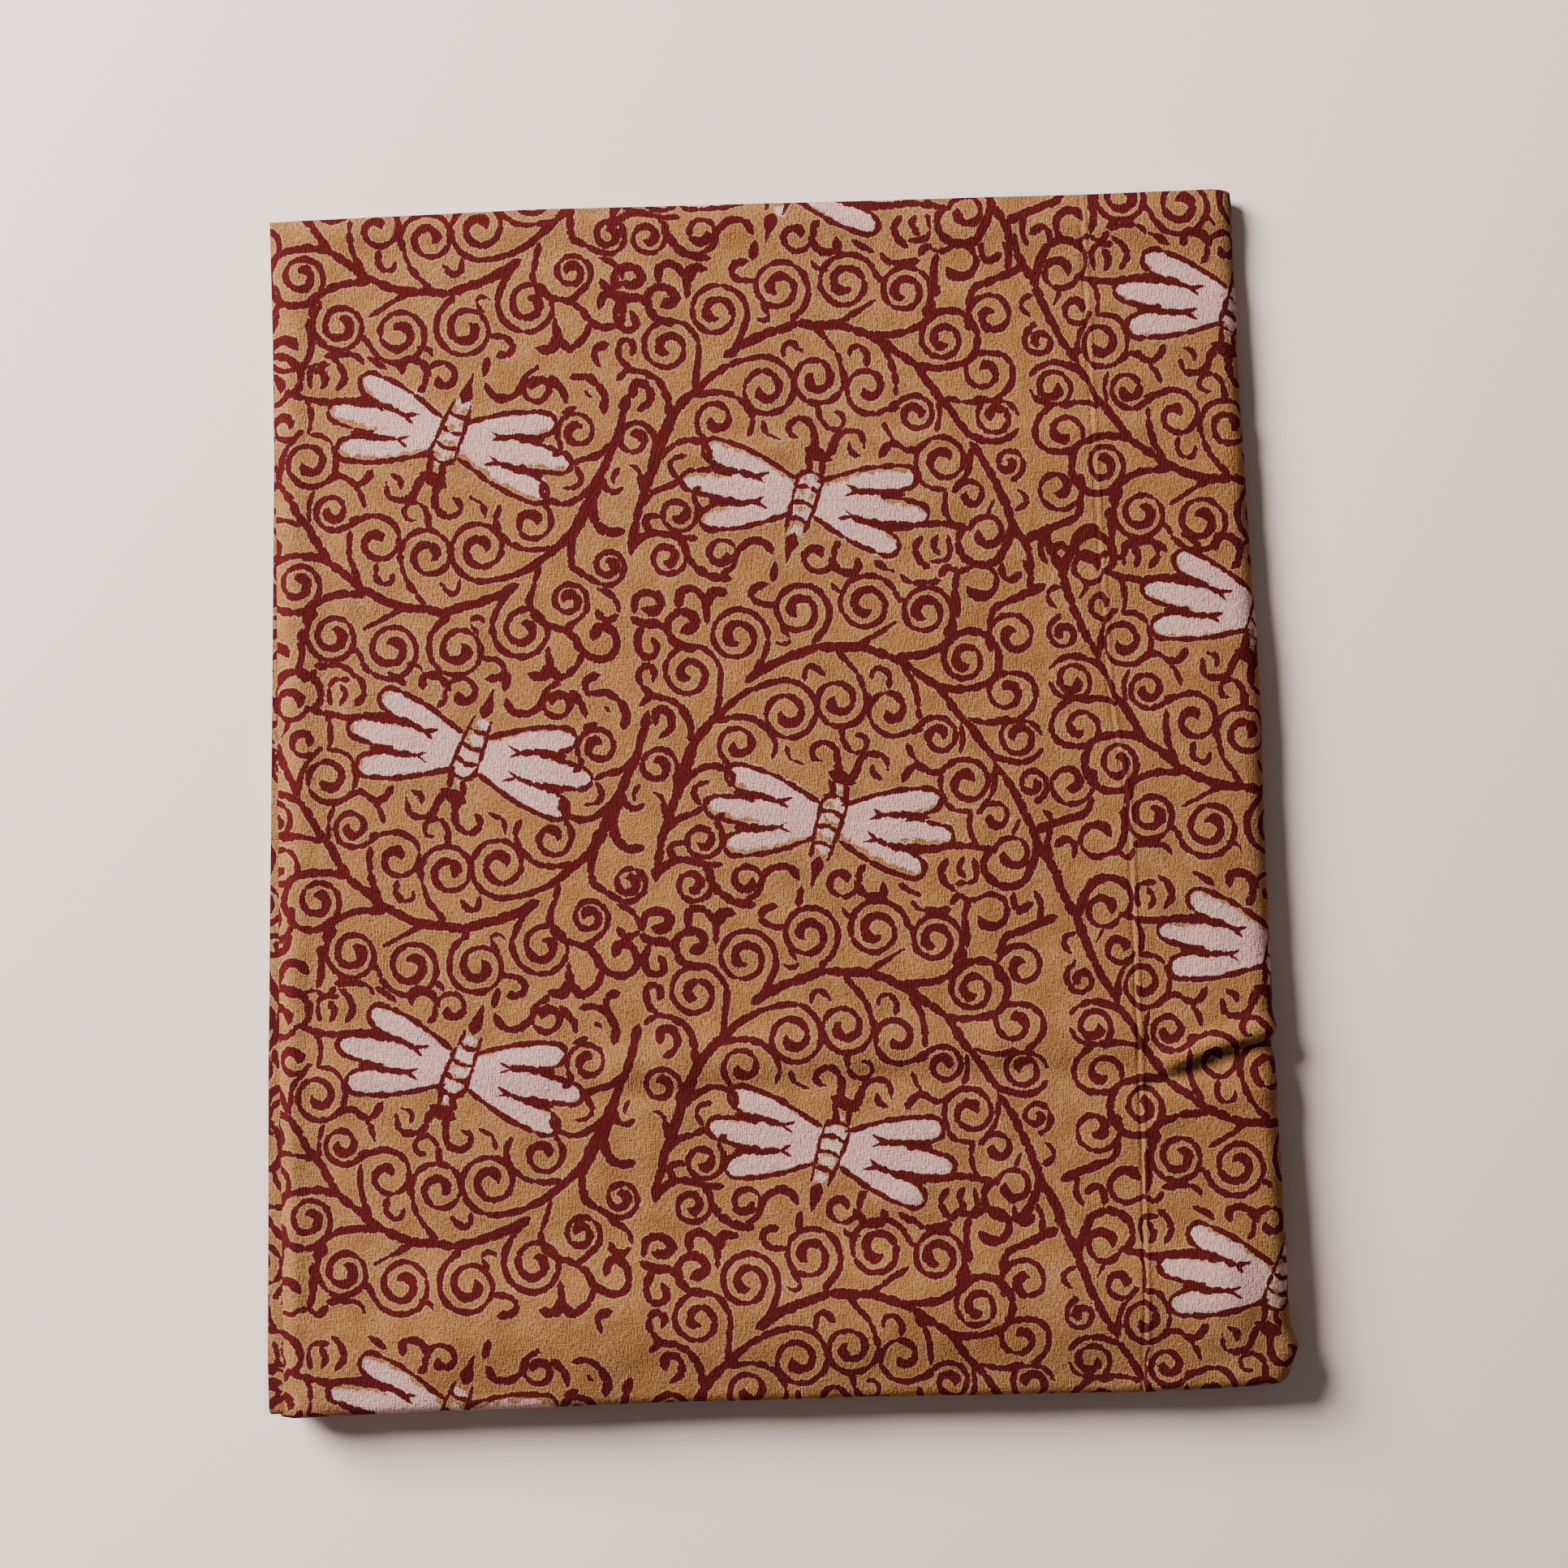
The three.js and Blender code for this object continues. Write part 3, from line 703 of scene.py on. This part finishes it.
def impressions():
    """Each impression: the dragonfly's middle, 1 or -1 for a turned block, its tilt, the paste's slip."""
    random = np.random.default_rng(STAMPING_SEED)
    made = []
    for number in COLUMNS:
        way = -1 if number % 2 == 0 else 1
        seen = [(x, y, tilt) for of_column, x, y, tilt in SEEN_IMPRESSIONS if of_column == number]
        if not seen:
            middle = FIRST_COLUMN + number * BLOCK_WIDTH
            seen = [(middle - way * FLY_OFF_MIDDLE, FIRST_ROW - COLUMN_DROP * number % BLOCK_HEIGHT, 0)]
        high, low = seen[0], seen[-1]
        above = [(high[0], high[1] + BLOCK_HEIGHT * k, 0) for k in range(1, ROWS_ABOVE + 1)]
        below = [(low[0], low[1] - BLOCK_HEIGHT * k, 0) for k in range(1, ROWS_BELOW + 1)]
        for x, y, tilt in above + seen + below:
            is_free = (x, y, tilt) not in seen
            error = random.uniform(-STAMPING_ERROR, STAMPING_ERROR, 2) * is_free
            tilt += random.uniform(-STAMPING_TILT, STAMPING_TILT) * is_free
            slip = random.uniform(-PASTE_ERROR, PASTE_ERROR, 2)
            made.append((np.array([x, y]) + error, way, math.radians(tilt), slip))
    return made


def on_block(flat, place, way, tilt):
    """Places on the flat cloth in the frame of a block that is stamped there."""
    return turned((flat - place) * way, -tilt)


def in_reach(places):
    low_x, high_x, low_y, high_y = BLOCK_REACH
    x, y = places[:, 0], places[:, 1]
    return np.flatnonzero((x > low_x) & (x < high_x) & (y > low_y) & (y < high_y))


def cut_lines(way):
    """The block's lines as straight steps: starts, ends, first and last half widths, and pieces."""
    starts, ends, first_halves, last_halves, piece_of, pieces = [], [], [], [], [], 0
    for line, half in block_lines(way):
        steps = np.arange(len(line) - 1)
        starts.append(line[:-1])
        ends.append(line[1:])
        first_halves.append(half[:-1])
        last_halves.append(half[1:])
        piece_of.append(pieces + steps // PIECE_STEPS)
        pieces = piece_of[-1][-1] + 1
    return [np.concatenate(parts) for parts in (starts, ends, first_halves, last_halves, piece_of)]


def look_up(corners, steps_of_block):
    """The printed lines nearest to each face: how near, and at each corner (distance aside, half width)."""
    starts, ends, first_halves, last_halves, piece_of = steps_of_block
    first_of_piece = np.flatnonzero(np.diff(piece_of, prepend=-1))
    run = ends - starts
    lengths = np.sqrt(np.maximum((run ** 2).sum(axis=1), 1e-9))
    middles = corners.mean(axis=1)
    off = middles[:, None, :] - starts[None]
    share = np.clip((off * run).sum(axis=2) / lengths ** 2, 0, 1)
    away = off - share[..., None] * run
    reach = np.sqrt((away ** 2).sum(axis=2)) - first_halves * (1 - share) - last_halves * share
    of_piece = np.minimum.reduceat(reach, first_of_piece, axis=1)
    nearest = np.argpartition(of_piece, LINES_PER_FACE, axis=1)[:, :LINES_PER_FACE]
    found = np.zeros((len(corners), LINES_PER_FACE, 4, 2))
    for rank in range(LINES_PER_FACE):
        piece = nearest[:, rank]
        best = np.full((len(piece), 4), np.inf)
        for step in range(PIECE_STEPS):
            which = np.minimum(first_of_piece[piece] + step, len(piece_of) - 1)
            here = run[which][:, None]
            length = lengths[which][:, None]
            off = corners - starts[which][:, None]
            along = (off * here).sum(axis=2) / length ** 2
            held = np.clip(along, 0, 1)
            away = np.sqrt(((off - held[..., None] * here) ** 2).sum(axis=2))
            aside = (off[..., 1] * here[..., 0] - off[..., 0] * here[..., 1]) / length
            half = first_halves[which][:, None] * (1 - held) + last_halves[which][:, None] * held
            better = (away < best) & (piece_of[which] == piece)[:, None]
            best = np.where(better, away, best)
            half = half - np.abs(along - held) * length
            found[:, rank, :, 0] = np.where(better, aside, found[:, rank, :, 0])
            found[:, rank, :, 1] = np.where(better, half, found[:, rank, :, 1])
    return np.take_along_axis(of_piece, nearest, axis=1), found


def print_on_faces(flat):
    """For each face's corners, the nearest printed lines as (distance aside, half width)."""
    steps_of_block = {way: cut_lines(way) for way in (1, -1)}
    middles = flat.mean(axis=1)
    nearness = np.full((len(flat), LINES_PER_FACE), NO_LINE_NEAR)
    lines = np.zeros((len(flat), LINES_PER_FACE, 4, 2))
    lines[..., 1] = NO_INK
    for place, way, tilt, _ in impressions():
        faces = in_reach(on_block(middles, place, way, tilt))
        for part in np.array_split(faces, len(faces) // FACES_AT_ONCE + 1):
            if not len(part):
                continue
            near, found = look_up(on_block(flat[part], place, way, tilt), steps_of_block[way])
            near = np.concatenate([nearness[part], near], axis=1)
            found = np.concatenate([lines[part], found], axis=1)
            best = np.argsort(near, axis=1)[:, :LINES_PER_FACE]
            nearness[part] = np.take_along_axis(near, best, axis=1)
            lines[part] = np.take_along_axis(found, best[:, :, None, None], axis=1)
    return lines


def white_on_points(flat):
    """The white paste at each point of the cloth, above 0 inside it."""
    value = np.full(len(flat), NO_WHITE)
    for place, way, tilt, slip in impressions():
        places = on_block(flat, place, way, tilt)
        points = in_reach(places)
        value[points] = np.maximum(value[points], white_on_block(places[points] - slip))
    return value


# The mesh


def lay_rows(passes, marks_of):
    """Rows of points over all passes. marks_of gives, for a pass, (share, cells up to the next mark).

    Returns every row's place and the indices of the marks, the rows that every layer has.
    """
    places, marks = [], []
    for which in range(passes):
        start = which * STEP
        table = marks_of(which)
        shares = [share for share, _ in table]
        cells = [count for _, count in table[:-1]]
        if which % 2 == 1:
            shares = [1 - share for share in reversed(shares)]
            cells = cells[::-1]
        for share, following, count in zip(shares, shares[1:], cells):
            marks.append(len(places))
            places += [start + share + (following - share) * k / count for k in range(count)]
        marks.append(len(places))
        places.append(start + 1)
        if which < passes - 1:
            for k in range(1, BEND_STEPS):
                marks.append(len(places))
                places.append(start + 1 + BEND_SPAN * k / BEND_STEPS)
    return np.array(places), np.array(marks)


def marks_across(panel):
    shares = sorted({EDGE_BAND, 1 - EDGE_BAND, *CREASE_BAND, *share_of(ENDS, column(ENDS, 0)).round(4)})
    table = []
    for share, following in zip(shares, shares[1:] + [1]):
        cell = TOP_CELL if panel == 0 else UNDERSIDE_CELL
        if panel == 0 and CREASE_BAND[0] <= share < CREASE_BAND[1]:
            cell = CREASE_CELL
        if panel > 1:
            cell = SIDE_BAND_CELL
        table.append((share, max(1, round((following - share) * PASS_WIDTH / cell))))
    return table


def marks_down(run):
    shares = sorted({EDGE_BAND, 1 - EDGE_BAND, *share_of(SIDES, column(SIDES, 0)).round(4)})
    return [
        (share, max(1, round((following - share) * PASS_LENGTH / ROW_CELL)))
        for share, following in zip(shares, shares[1:] + [1])
    ]


def build_cloth():
    across, across_marks = lay_rows(PANELS, marks_across)
    down, down_marks = lay_rows(RUNS, marks_down)
    columns, rows = len(across_marks) - 1, len(down_marks) - 1
    middle_across = (across[across_marks[:-1]] + across[across_marks[1:]]) / 2
    middle_down = (down[down_marks[:-1]] + down[down_marks[1:]]) / 2

    # cells that show are fine on the printed face: the top and bottom layers, the folds round
    # the packet, and the step of the second run at the open side
    fine = np.zeros((2, columns, rows), bool)
    outside = (middle_across < 2 * STEP)[:, None] & (middle_down < STEP)[None]
    open_side = (middle_across > ACROSS_LENGTH - EDGE_BAND)[:, None]
    step_band = open_side & (middle_down > DOWN_LENGTH - 1)[None]
    fine[0] = outside | step_band

    def edge_is_fine(side, column_at, row_at, runs_across):
        """Whether an edge has the fine rows' points: it does if a cell on either side of it has."""
        if runs_across:
            cells = [(column_at, row_at - 1), (column_at, row_at)]
            rim = row_at in (0, rows)
        else:
            cells = [(column_at - 1, row_at), (column_at, row_at)]
            rim = column_at in (0, columns)
        sides = (0, 1) if rim else (side,)
        return any(
            fine[which, c, r] for which in sides for c, r in cells if 0 <= c < columns and 0 <= r < rows
        )

    def edge_points(side, column_at, row_at, runs_across):
        marks = across_marks if runs_across else down_marks
        place = column_at if runs_across else row_at
        along = (marks[place], marks[place + 1])
        if edge_is_fine(side, column_at, row_at, runs_across):
            along = range(marks[place], marks[place + 1] + 1)
        if runs_across:
            return [(side, i, down_marks[row_at]) for i in along]
        return [(side, across_marks[column_at], j) for j in along]

    numbers = {}

    def number(point):
        return numbers.setdefault((int(point[0]), int(point[1]), int(point[2])), len(numbers))

    faces, printed = [], []
    for side in (0, 1):
        for c in range(columns):
            for r in range(rows):
                if fine[side, c, r]:
                    for i in range(across_marks[c], across_marks[c + 1]):
                        for j in range(down_marks[r], down_marks[r + 1]):
                            corners = ((i, j), (i + 1, j), (i + 1, j + 1), (i, j + 1))
                            faces.append([number((side, *corner)) for corner in corners])
                            printed.append(True)
                    continue
                ring = edge_points(side, c, r, True)
                ring += edge_points(side, c + 1, r, False)[1:]
                ring += edge_points(side, c, r + 1, True)[::-1][1:]
                ring += edge_points(side, c, r, False)[::-1][1:-1]
                ring = [number(point) for point in ring]
                faces.append(ring if side == 0 else ring[::-1])
                printed.append(False)
    rims = []
    for c in range(columns):
        rims.append((edge_points(0, c, 0, True), 1))
        rims.append((edge_points(0, c, rows, True), -1))
    for r in range(rows):
        rims.append((edge_points(0, 0, r, False), -1))
        rims.append((edge_points(0, columns, r, False), 1))
    for points, way in rims:
        for (_, i, j), (_, i2, j2) in zip(points, points[1:]):
            ring = [number((0, i, j)), number((1, i, j)), number((1, i2, j2)), number((0, i2, j2))]
            faces.append(ring[::way])
            printed.append(False)

    keys = np.array(list(numbers))
    points, flat = shape_cloth(across[keys[:, 1]], down[keys[:, 2]], keys[:, 0])
    return points, flat, faces, np.array(printed)


def make_cloth():
    points, flat, faces, printed = build_cloth()
    mesh = bpy.data.meshes.new("folded_cotton")
    mesh.from_pydata((points * MM).tolist(), [], faces)
    mesh.update()
    # turn the skin the right way out
    mesh.calc_loop_triangles()
    corners = np.zeros(len(mesh.loop_triangles) * 3, np.int32)
    mesh.loop_triangles.foreach_get("vertices", corners)
    triangles = points[corners.reshape(-1, 3)]
    volume = np.einsum("ij,ij->i", triangles[:, 0], np.cross(triangles[:, 1], triangles[:, 2])).sum()
    if volume < 0:
        mesh.flip_normals()

    places = np.column_stack([flat, np.zeros(len(flat))]).astype(np.float32)
    place = mesh.attributes.new("cloth_place", "FLOAT_VECTOR", "POINT")
    place.data.foreach_set("vector", places.ravel())
    white = mesh.attributes.new("white_paste", "FLOAT", "POINT")
    white.data.foreach_set("value", white_on_points(flat).astype(np.float32))

    vertex_of_corner = np.zeros(len(mesh.loops), np.int32)
    mesh.loops.foreach_get("vertex_index", vertex_of_corner)
    starts = np.zeros(len(mesh.polygons), np.int32)
    mesh.polygons.foreach_get("loop_start", starts)
    loops = starts[printed][:, None] + np.arange(4)[None]
    lines = print_on_faces(flat[vertex_of_corner[loops]])
    for rank in range(LINES_PER_FACE):
        data = np.zeros((len(mesh.loops), 3), np.float32)
        data[:, 1] = UNPRINTED
        data[loops.ravel(), 0] = lines[:, rank, :, 0].ravel()
        data[loops.ravel(), 1] = lines[:, rank, :, 1].ravel()
        layer = mesh.attributes.new(f"printed_line_{rank + 1}", "FLOAT_VECTOR", "CORNER")
        layer.data.foreach_set("vector", data.ravel())

    mesh.shade_smooth()
    mesh.set_sharp_from_angle(angle=SHARP_FOLD)
    cloth = bpy.data.objects.new("folded_cotton", mesh)
    bpy.context.scene.collection.objects.link(cloth)
    return cloth


# Materials


def linear(hex_colour):
    """An sRGB hex colour as the linear values that the shader takes."""
    made = []
    for k in (0, 2, 4):
        value = int(hex_colour[k:k + 2], 16) / 255
        made.append(value / 12.92 if value <= 0.04045 else ((value + 0.055) / 1.055) ** 2.4)
    return (*made, 1.0)


def add(tree, kind, feeds=None, **settings):
    """Adds a node. settings are its properties, feeds its inputs' values or the outputs linked in."""
    made = tree.nodes.new(kind)
    for name, value in settings.items():
        setattr(made, name, value)
    for socket, value in (feeds or {}).items():
        if isinstance(value, bpy.types.NodeSocket):
            tree.links.new(value, made.inputs[socket])
        else:
            made.inputs[socket].default_value = value
    return made


# Grains of the cloth and its dyes, in millimetres across and along the flat cloth. Threads are
# 0.36 mm apart, which is too fine to show, so ribs and slubs are drawn coarser.
RIBS = (0.45, 1.7)
WEFTS = (1.7, 0.42)
SPECKS = (0.6, 0.65, 0.52, 0.68)
DYE_CLOUDS = (7.0, 8.0)
DYE_BATH = (45.0, 60.0)
EDGE_THREADS = (0.5, 0.7)
BLOCK_WEAR = (3.5, 4.5)
PASTE_CLOTS = (2.2, 2.6)

INK_SPREAD = 0.11  # how far the dye creeps past a cut line, in millimetres
INK_BLUR = 0.07
RAGGEDNESS = 0.24  # how far the threads break its edge
UNEVENNESS = 0.55  # how much a line swells and thins along its way
PASTE_UNEVENNESS = 1.3
PASTE_BLUR = 0.08
PALE_RIM = (0.34, 0.1)  # width of the paler cloth beside the ink, and its blur
GREY_RIM = (0.45, 0.2)  # the same for the paste's grey rim, inside its edge
PALENESS = 0.2
GREYNESS = 0.35
RELIEF = ((SPECKS, 0.4), (WEFTS, 0.6))  # how high they stand against the ribs
BUMP_STRENGTH = 0.6
THREAD_HEIGHT = 0.00025  # metres

# Stains over a colour: where, how strong, and their own colour
MUSTARD_STAINS = (
    # lighter and darker by thread, by cloud and by dye bath, with dark specks
    (RIBS, 1.0, "ab7a4d"),
    (WEFTS, 0.45, "b68354"),
    (DYE_CLOUDS, 0.75, "8b5b31"),
    (DYE_BATH, 0.25, "9f6731"),
    (SPECKS, 0.55, "553a1e"),
)
# the white paste is thin enough for pinkish threads and grey specks to show
PASTE_STAINS = ((RIBS, 1.0, "dbaca3"), (SPECKS, 0.35, "75625c"))
MAROON_STAINS = ((RIBS, 1.0, "5b1615"), (DYE_CLOUDS, 0.3, "420f0f"))


def printed_cotton():
    """Plain-weave cotton, dyed mustard and block printed: matt, with thread ribs, slubs and specks."""
    material = bpy.data.materials.new("block_printed_plain_weave_cotton")
    material.use_nodes = True
    tree = material.node_tree
    tree.nodes.clear()
    place = add(tree, "ShaderNodeAttribute", attribute_name="cloth_place").outputs["Vector"]

    def grains(across_mm, along_mm, low=0.3, high=0.7):
        """0 to 1, in soft grains so many millimetres across and along the flat cloth."""
        shrink = (1 / across_mm, 1 / along_mm, 1)
        scaled = add(tree, "ShaderNodeVectorMath", {0: place, 1: shrink}, operation="MULTIPLY").outputs[0]
        noise = add(tree, "ShaderNodeTexNoise", {"Vector": scaled, "Scale": 1.0, "Detail": 2.0},
                    noise_dimensions="2D").outputs["Fac"]
        spread = {"Value": noise, "From Min": low, "From Max": high}
        return add(tree, "ShaderNodeMapRange", spread).outputs[0]

    def uneven(length, grain, amount):
        """A length that a grain makes longer or shorter, by half of the amount at most."""
        slack = add(tree, "ShaderNodeMath", {0: grains(*grain), 1: amount, 2: -amount / 2},
                    operation="MULTIPLY_ADD").outputs[0]
        return add(tree, "ShaderNodeMath", {0: length, 1: slack}, operation="ADD").outputs[0]

    def stained(under, pattern, strength, over):
        """One colour over another where a pattern is above 0."""
        share = add(tree, "ShaderNodeMath", {0: pattern, 1: strength}, operation="MULTIPLY").outputs[0]
        return add(tree, "ShaderNodeMix", {0: share, 6: under, 7: over}, data_type="RGBA").outputs[2]

    patterns = {grain: grains(*grain) for grain in (RIBS, WEFTS, SPECKS, DYE_CLOUDS, DYE_BATH)}

    def dyed(colour, stains):
        made = linear(colour)
        for grain, strength, stain in stains:
            made = stained(made, patterns[grain], strength, linear(stain))
        return made

    # ink: the widest of the nearest few lines, ragged by the threads and uneven by the block
    ink = None
    for rank in range(LINES_PER_FACE):
        line = add(tree, "ShaderNodeAttribute", attribute_name=f"printed_line_{rank + 1}").outputs["Vector"]
        parts = add(tree, "ShaderNodeSeparateXYZ", {0: line}).outputs
        aside = add(tree, "ShaderNodeMath", {0: parts[0]}, operation="ABSOLUTE").outputs[0]
        inside = add(tree, "ShaderNodeMath", {0: parts[1], 1: aside}, operation="SUBTRACT").outputs[0]
        if rank:
            inside = add(tree, "ShaderNodeMath", {0: ink, 1: inside}, operation="MAXIMUM").outputs[0]
        ink = inside
    ink = uneven(uneven(ink, BLOCK_WEAR, UNEVENNESS), EDGE_THREADS, RAGGEDNESS)
    paste = add(tree, "ShaderNodeAttribute", attribute_name="white_paste").outputs["Fac"]
    paste = uneven(paste, PASTE_CLOTS, PASTE_UNEVENNESS)

    # where the ink, the paste, the pale rim and the grey rim show, each with a soft step at its edge
    shown = []
    for value, at, blur in (
        (ink, -INK_SPREAD, INK_BLUR),
        (paste, 0, PASTE_BLUR),
        (ink, -INK_SPREAD - PALE_RIM[0], PALE_RIM[1]),
        (paste, GREY_RIM[0], -GREY_RIM[1]),
    ):
        step = {"Value": value, "From Min": at - blur, "From Max": at + blur}
        shown.append(add(tree, "ShaderNodeMapRange", step, interpolation_type="SMOOTHSTEP").outputs[0])
    inked, pasted, paled, greyed = shown

    # beside the ink the dye stops short and the cloth stays paler, as a thread-wide rim
    mustard = stained(dyed("875930", MUSTARD_STAINS), paled, PALENESS, linear("c9a48e"))
    white = stained(dyed("bd8d84", PASTE_STAINS), greyed, GREYNESS, linear("8c7d6c"))
    maroon = dyed("471110", MAROON_STAINS)
    colour = stained(stained(mustard, pasted, 1.0, white), inked, 1.0, maroon)

    relief = patterns[RIBS]
    for grain, height in RELIEF:
        relief = add(tree, "ShaderNodeMath", {0: patterns[grain], 1: height, 2: relief},
                     operation="MULTIPLY_ADD").outputs[0]
    bump = add(tree, "ShaderNodeBump", {
        "Strength": BUMP_STRENGTH, "Distance": THREAD_HEIGHT, "Height": relief,
    })
    shader = add(tree, "ShaderNodeBsdfPrincipled", {
        "Base Color": colour, "Roughness": 0.95, "Specular IOR Level": 0.1, "Normal": bump.outputs[0],
    })
    add(tree, "ShaderNodeOutputMaterial", {"Surface": shader.outputs[0]})
    return material


def painted_board():
    """Matt painted board: an even, pale surface that takes a soft shadow."""
    material = bpy.data.materials.new("matt_painted_board")
    material.use_nodes = True
    shader = material.node_tree.nodes["Principled BSDF"]
    shader.inputs["Base Color"].default_value = linear("fde5dc")
    shader.inputs["Roughness"].default_value = 0.9
    return material


# The object


cloth = make_cloth()
cloth.data.materials.append(printed_cotton())
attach(cloth, "root")
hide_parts("folded_cloth")

# The table, the light and the camera

FLOOR_HALF = 2.0
FLOOR_CORNERS = ((-1, -1), (1, -1), (1, 1), (-1, 1))
UNDER_CLOTH = -0.0001  # the table lies a hair under the lowest ply
LAMP_PLACE = (-1.13, 0.85, 0.79)
LAMP_SIZE = 0.84
LAMP_WATTS = 90
ROOM_COLOUR = (1, 0.99, 0.98, 1)
ROOM_STRENGTH = 0.11
FRAME_WIDTH = 0.425  # what the frame spans at the height of the cloth
CLOTH_TOP = 0.0113
FRAME_MIDDLE = (0.00515, 0.0042)
CAMERA_TURN = math.radians(-1.9)
LENS, SENSOR = 50, 36  # millimetres

floor_mesh = bpy.data.meshes.new("table")
floor_mesh.from_pydata(
    [(x * FLOOR_HALF, y * FLOOR_HALF, 0) for x, y in FLOOR_CORNERS], [], [(0, 1, 2, 3)]
)
table = bpy.data.objects.new("table", floor_mesh)
table.location.z = UNDER_CLOTH
table.data.materials.append(painted_board())
bpy.context.scene.collection.objects.link(table)

window_light = bpy.data.lights.new("window_light", "AREA")
window_light.shape = "DISK"
window_light.size = LAMP_SIZE
window_light.energy = LAMP_WATTS
lamp = bpy.data.objects.new("window_light", window_light)
lamp.location = LAMP_PLACE
lamp.rotation_euler = (-Vector(LAMP_PLACE)).to_track_quat("-Z", "Y").to_euler()
bpy.context.scene.collection.objects.link(lamp)

world = bpy.data.worlds.new("soft_room")
world.use_nodes = True
background = world.node_tree.nodes["Background"]
background.inputs["Color"].default_value = ROOM_COLOUR
background.inputs["Strength"].default_value = ROOM_STRENGTH
bpy.context.scene.world = world

camera_data = bpy.data.cameras.new("camera")
camera_data.lens = LENS
camera_data.sensor_width = SENSOR
camera_height = FRAME_WIDTH * LENS / SENSOR + CLOTH_TOP
camera = bpy.data.objects.new("camera", camera_data)
camera.location = (*FRAME_MIDDLE, camera_height)
camera.rotation_euler = (0, 0, CAMERA_TURN)
bpy.context.scene.collection.objects.link(camera)
bpy.context.scene.camera = camera
